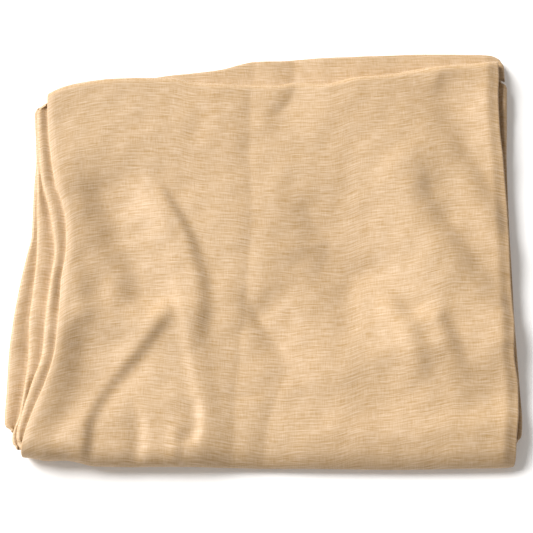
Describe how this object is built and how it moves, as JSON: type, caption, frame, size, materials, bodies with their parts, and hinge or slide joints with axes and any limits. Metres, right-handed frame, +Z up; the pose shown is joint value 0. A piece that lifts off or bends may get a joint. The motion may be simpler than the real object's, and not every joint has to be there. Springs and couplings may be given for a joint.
{
  "type": "folded hijab scarf",
  "caption": "Woven slub hijab scarf folded into a flat pack, with soft creases across its top ply and folded rims fanned out at one side.",
  "frame": {"origin": "middle of the pack's outline, on the plane that its underside rests on", "axes": "+X along the pack's longer side, to the right of someone in front of its last fold; +Y away from them, towards the open rims at the back; +Z up, through its thickness"},
  "size_m": [0.255, 0.227, 0.0164],
  "materials": {
    "scarf_cloth": "soft sand-beige slub weave with a light sheen"
  },
  "bodies": {
    "root": {"outer_ply": "scarf_cloth", "left_fold_upper": "scarf_cloth", "left_fold_middle": "scarf_cloth", "left_fold_lower": "scarf_cloth", "right_fold": "scarf_cloth", "back_fold": "scarf_cloth", "hidden_plies": "scarf_cloth"}
  },
  "joints": []
}
